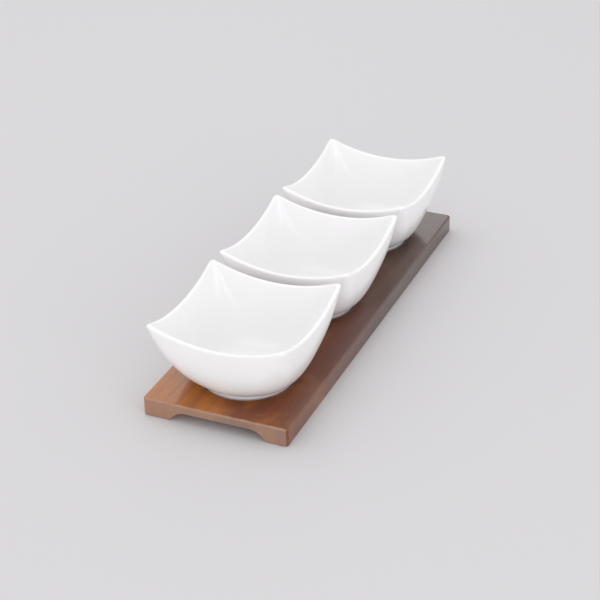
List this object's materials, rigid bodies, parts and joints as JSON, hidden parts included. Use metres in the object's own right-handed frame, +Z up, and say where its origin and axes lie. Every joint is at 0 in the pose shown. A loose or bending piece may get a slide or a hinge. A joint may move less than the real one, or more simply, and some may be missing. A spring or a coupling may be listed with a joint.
{
  "type": "chip and dip server",
  "caption": "Long lacquered wooden serving board with finger cuts under its ends, carrying a row of loose square porcelain bowls with upswept corners, each seated in a shallow round recess.",
  "frame": {"origin": "middle of the board's footprint, on the table it stands on", "axes": "+X across the board, +Y along its length from front to back, +Z up"},
  "size_m": [0.1142, 0.3556, 0.0733],
  "materials": {
    "lacquered_wood": "gloss",
    "porcelain": "gloss"
  },
  "bodies": {
    "board": {"board": "lacquered_wood"},
    "bowl_front": {"bowl_front": "porcelain"},
    "bowl_middle": {"bowl_middle": "porcelain"},
    "bowl_back": {"bowl_back": "porcelain"}
  },
  "joints": [
    {"name": "bowl_front_lift", "type": "slide", "parent": "board", "child": "bowl_front", "axis": [0, 0, 1], "range_m": [0, 0.1]},
    {"name": "bowl_middle_lift", "type": "slide", "parent": "board", "child": "bowl_middle", "axis": [0, 0, 1], "range_m": [0, 0.1]},
    {"name": "bowl_back_lift", "type": "slide", "parent": "board", "child": "bowl_back", "axis": [0, 0, 1], "range_m": [0, 0.1]}
  ]
}
